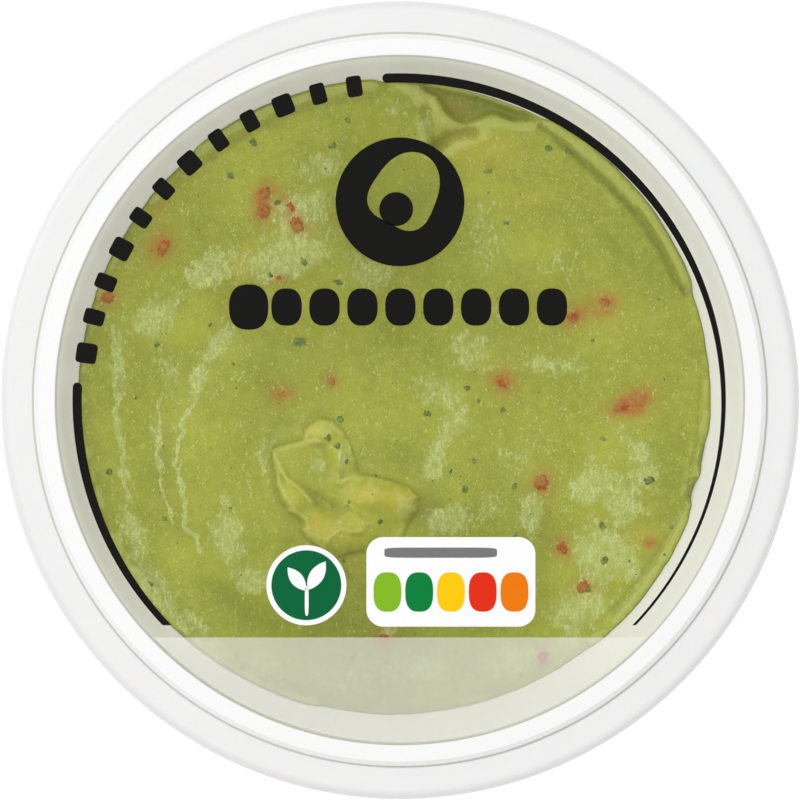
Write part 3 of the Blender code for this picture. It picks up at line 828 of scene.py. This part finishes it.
herb_leaf = Finish("chopped_herb", {"Roughness": 0.8, "Specular IOR Level": 0.05})
herb_tone = herb_leaf.step(herb_leaf.noise(0.8, 4.0), 0.35, 0.65)
herb_leaf.drive(Base_Color=herb_leaf.blend(herb_tone, (0.115, 0.175, 0.030), (0.240, 0.325, 0.075)))
scattered("herb_flakes", pebble(7, 12, 0.9), HERBS[:, :2], herb_halves,
          herb_rng.uniform(0, 180, len(HERBS)), -0.03 + 0 * HERBS[:, 2], herb_leaf,
          72, tilt=10, ragged=0.34)

SPECK_COUNT = 240
speck_rng = np.random.default_rng(81)
speck_far = 45.0 * np.sqrt(speck_rng.uniform(0, 1, SPECK_COUNT))
speck_angle = speck_rng.uniform(0, 2 * pi, SPECK_COUNT)
speck_places = np.column_stack([speck_far * np.cos(speck_angle), speck_far * np.sin(speck_angle)])
speck_size = 0.05 + 0.10 * speck_rng.uniform(0, 1, (SPECK_COUNT, 1)) ** 2
speck_halves = speck_size * np.array([[1.2, 0.8, 0.5]])
spice = Finish("ground_spice", {"Roughness": 0.8, "Specular IOR Level": 0.1})
spice_tone = spice.noise(3.0, 2.0)
spice.drive(Base_Color=spice.blend(spice_tone, (0.110, 0.130, 0.030), (0.240, 0.150, 0.030)))
scattered("spice_specks", pebble(5, 6, 0.9), speck_places, speck_halves,
          speck_rng.uniform(0, 180, SPECK_COUNT), 0.01 + 0 * speck_far, spice, 82)


# Film
# Clear polyester lidding, 0.06 thick, welded flat across the seal land and cut round.

FILM_RADIUS = 53.6
FILM_THICKNESS = 0.06
FILM_COLUMNS = 192
film_z = RIM + 0.01
film_corners = [
    (0.0, film_z + FILM_THICKNESS, 0),
    (FILM_RADIUS, film_z + FILM_THICKNESS, 0.02),
    (FILM_RADIUS, film_z, 0.02),
    (0.0, film_z, 0),
]
film_clear = Finish("clear_film", {"Base Color": (0.55, 0.57, 0.50), "Roughness": 0.12,
                                   "Alpha": 0.02, "IOR": 1.5})
film = grid_piece("sealing_film", turned(rounded(film_corners, 2), FILM_COLUMNS), film_clear,
                  ["lid_film"])
film.visible_shadow = False


# Print on the film
# Flat inks laid on the film, each a coat a few hundredths thick: black bars, dots and a badge,
# a green badge, a white panel with coloured dots, and a milky band across the front.

INK_Z = film_z + FILM_THICKNESS + 0.02
COAT = 0.015


def coat(inner, outer, layer):
    """A thin flat ring or strip between two outlines, in the film's plane: over, outside edge,
    under and inside edge, as one closed grid. Layers lie one above the other."""
    low = INK_Z + 2 * COAT * layer
    rows = [(inner, low + COAT), (outer, low + COAT), (outer, low), (inner, low), (inner, low + COAT)]
    return np.stack([np.column_stack([line, np.full(len(line), z)]) for line, z in rows])


def around(count=96):
    return np.linspace(0, 2 * pi, count, endpoint=False)


def superoval(centre, half, turn=0.0, squareness=1.0, count=96):
    """Outline |x / a| ** (2 / n) + |y / b| ** (2 / n) = 1: n of 1 is an oval, less is squarer."""
    t = around(count)
    x = half[0] * np.sign(np.cos(t)) * np.abs(np.cos(t)) ** squareness
    y = half[1] * np.sign(np.sin(t)) * np.abs(np.sin(t)) ** squareness
    a = radians(turn)
    return np.column_stack([centre[0] + x * np.cos(a) - y * np.sin(a),
                            centre[1] + x * np.sin(a) + y * np.cos(a)])


def filled(outline, centre, layer):
    return coat(np.zeros_like(outline) + np.array(centre), outline, layer)


def printed(name, shapes, finish):
    """One ink: several closed coats joined in one mesh."""
    vertices, faces, start = [], [], 0
    for grid in shapes:
        rows, columns = grid.shape[:2]
        index = np.arange((rows - 1) * columns).reshape(rows - 1, columns)
        index = np.vstack([index, index[:1]])
        there = np.roll(index, -1, axis=1)
        quads = np.stack([index[:-1], index[1:], there[1:], there[:-1]], axis=-1).reshape(-1, 4)
        vertices.append(grid[:-1].reshape(-1, 3))
        faces.append(quads + start)
        start += (rows - 1) * columns
    vertices, faces = np.concatenate(vertices), np.concatenate(faces)
    rounded_places = np.round(vertices, 6)
    _, first, merged = np.unique(rounded_places, axis=0, return_index=True, return_inverse=True)
    faces = single_corners(merged.reshape(-1)[faces])
    faces = [corners for corners in faces if len(corners) > 2]
    add_piece(name, vertices[first], faces, finish).visible_shadow = False


def ink(name, colour, roughness=0.5):
    """A flat ink with the faint mottle of a printed solid."""
    made = Finish(name, {"Roughness": roughness, "Specular IOR Level": 0.1})
    dark = tuple(0.975 * part for part in colour)
    made.drive(Base_Color=made.blend(made.noise(0.8, 4.0), dark, colour))
    return made


ARC_OUTER = 48.15
ARC_SHIFT = -0.12
ARC_CUT_Y = -33.2


def arc_strip(start, end, width_at, cut_y, count=160):
    """A bar bent round the axis: outer radius fixed, inner radius from width_at(share).

    It starts with a round cap and ends on a level line.
    """
    share = np.linspace(0, 1, count) ** 2
    angle = np.radians(start + (end - start) * share)
    width = width_at(share)
    cap = np.degrees(width[0] / 2 / ARC_OUTER)
    from_start = np.abs(np.degrees(angle) - start)
    squeeze = np.sqrt(1 - np.clip(1 - from_start / cap, 0, 1) ** 2)
    middle = ARC_OUTER - width / 2
    outer_r, inner_r = middle + squeeze * width / 2, middle - squeeze * width / 2
    sides = []
    for r in (inner_r, outer_r):
        line = np.column_stack([r * np.cos(angle), r * np.sin(angle)])
        low = line[:, 1] < cut_y
        line[low, 0] = np.sign(line[low, 0]) * np.sqrt(r[low] ** 2 - cut_y ** 2)
        line[low, 1] = cut_y
        line[:, 0] += ARC_SHIFT
        sides.append(line)
    return sides


black_ink = ink("black_ink", (0.0065, 0.0065, 0.0058), 0.7)
black_shapes = []


def bar_loop(sides, layer):
    """A bar from its two long sides, as a closed outline filled across its middle line."""
    inner, outer = sides
    outline = np.concatenate([outer, inner[::-1]])
    middle = (outer + inner) / 2
    spine = np.concatenate([middle, middle[::-1]])
    return coat(spine, outline, layer)


left_bar = arc_strip(176.9, 226.5, lambda s: 1.38 - 0.45 * s ** 1.5, ARC_CUT_Y)
right_bar = arc_strip(93.0, -46.0, lambda s: 1.38 - 1.0 * smooth((s - 0.1) / 0.9), ARC_CUT_Y)
black_shapes.append(bar_loop([left_bar[1], left_bar[0]], 0))
black_shapes.append(bar_loop(right_bar, 0))

# Short blocks along the arc between the two bars
BLOCK_RADIUS = 46.7
BLOCK_ANGLES = np.linspace(171.5, 98.3, 12)
for n, angle in enumerate(np.radians(BLOCK_ANGLES)):
    middle = BLOCK_RADIUS * np.array([np.cos(angle), np.sin(angle)])
    half = (1.55, 1.15 if n % 3 else 1.5)
    block = superoval(middle, half, np.degrees(angle), 0.35, 48)
    black_shapes.append(filled(block, middle, 0))

# A row of ovals across the middle
OVAL_COUNT = 9
OVAL_Y = 13.7
for n, x in enumerate(np.linspace(-22.3, 22.4, OVAL_COUNT)):
    middle = (x, OVAL_Y)
    half = (2.25, 2.75) if n else (2.9, 3.35)
    black_shapes.append(filled(superoval(middle, half, 0, 0.8), middle, 0))

# Badge: a black disc with half an avocado left open in it, its stone printed in the middle
BADGE = np.array([0.0, 29.2])


def pear(centre, size, turn):
    """An avocado's outline: radius 1 + 0.32 cos^3 of the angle from its narrow end."""
    t = around()
    r = size * (0.82 + 0.34 * np.cos(t) ** 3 + 0.06 * np.cos(2 * t))
    a = t + radians(turn)
    return np.column_stack([centre[0] + r * np.cos(a), centre[1] + r * np.sin(a)])


badge_turn = 62
badge_disc = superoval(BADGE, (9.5, 9.5), badge_turn)
black_shapes.append(coat(pear(BADGE, 6.4, badge_turn), badge_disc, 0))
stone_middle = BADGE - 1.2 * np.array([np.cos(radians(badge_turn)), np.sin(radians(badge_turn))])
black_shapes.append(filled(superoval(stone_middle, (2.5, 2.5)), stone_middle, 0))
printed("print_black", black_shapes, black_ink)

# White: the panel and the rim and leaf of the green badge
PANEL, PANEL_HALF = (7.5, -26.8), (12.45, 6.6)
GREEN_BADGE = (-13.8, -27.3)


def round_panel(centre, half, corner):
    """A rectangle with quarter-circle corners, 24 points to a corner."""
    t = np.linspace(0, pi / 2, 24)
    parts = []
    for quarter, (sx, sy) in enumerate([(1, 1), (-1, 1), (-1, -1), (1, -1)]):
        a = t + quarter * pi / 2
        parts.append(np.column_stack([centre[0] + sx * (half[0] - corner) + corner * np.cos(a),
                                      centre[1] + sy * (half[1] - corner) + corner * np.sin(a)]))
    return np.concatenate(parts)


def lens(centre, length, width, turn):
    """A leaf: its half width falls with the square of the way from its middle to a tip."""
    t = around()
    along = np.cos(t)
    across = np.sign(np.sin(t)) * (1 - along ** 2) * width
    a = radians(turn)
    return np.column_stack([centre[0] + length * along * np.cos(a) - across * np.sin(a),
                            centre[1] + length * along * np.sin(a) + across * np.cos(a)])


white_ink = ink("white_ink", (0.99, 0.99, 0.99))
green_disc = superoval(GREEN_BADGE, (5.15, 5.15))
white_disc = superoval(GREEN_BADGE, (5.9, 5.9))
leaf_a, leaf_b = np.array((-15.2, -26.4)), np.array((-12.3, -25.9))
white_shapes = [
    filled(round_panel(PANEL, PANEL_HALF, 2.5), PANEL, 0),
    filled(white_disc, GREEN_BADGE, 0),
    filled(lens(leaf_a, 2.2, 0.95, 128), leaf_a, 2),
    filled(lens(leaf_b, 2.5, 1.05, 58), leaf_b, 2),
    filled(superoval((-13.75, -29.6), (0.28, 2.2), 0, 0.6), (-13.75, -29.6), 2),
]
printed("print_white", white_shapes, white_ink)
printed("print_leaf_green", [filled(green_disc, GREEN_BADGE, 1)], ink("leaf_green_ink", (0.0, 0.133, 0.042)))

grey_bar = superoval((6.0, -22.5), (8.3, 0.75), 0, 0.3)
printed("print_grey", [filled(grey_bar, (6.0, -22.5), 1)], ink("grey_ink", (0.195, 0.195, 0.195)))

FIRST_DOT, DOT_PITCH = (-1.85, -28.3), 4.68
DOT_INKS = [
    ("lime", (0.235, 0.497, 0.016)), ("green", (0.0, 0.220, 0.044)),
    ("yellow", (1.0, 0.604, 0.0)), ("red", (0.791, 0.027, 0.006)), ("orange", (0.871, 0.205, 0.0)),
]
for n, (name, colour) in enumerate(DOT_INKS):
    middle = (FIRST_DOT[0] + DOT_PITCH * n, FIRST_DOT[1])
    dot = superoval(middle, (2.05, 2.9), 0, 0.75)
    printed("print_" + name, [filled(dot, middle, 1)], ink(name + "_ink", colour))

# Milky band across the front, inside the seal
BAND_TOP, BAND_RADIUS = -35.0, 50.4
band_start = pi + np.arcsin(-BAND_TOP / BAND_RADIUS)
band_angles = np.linspace(band_start, 3 * pi - band_start, 120)
band_arc = BAND_RADIUS * np.column_stack([np.cos(band_angles), np.sin(band_angles)])
band_line = np.column_stack([band_arc[:, 0], np.full(len(band_arc), BAND_TOP)])
milky = ink("milky_ink", (0.98, 0.98, 0.93))
milky.drive(Alpha=0.40)
band_top = coat(band_line, band_arc, 0)[:2]
band = grid_piece("print_milky_band", band_top, milky, closed=False)
band.visible_shadow = False
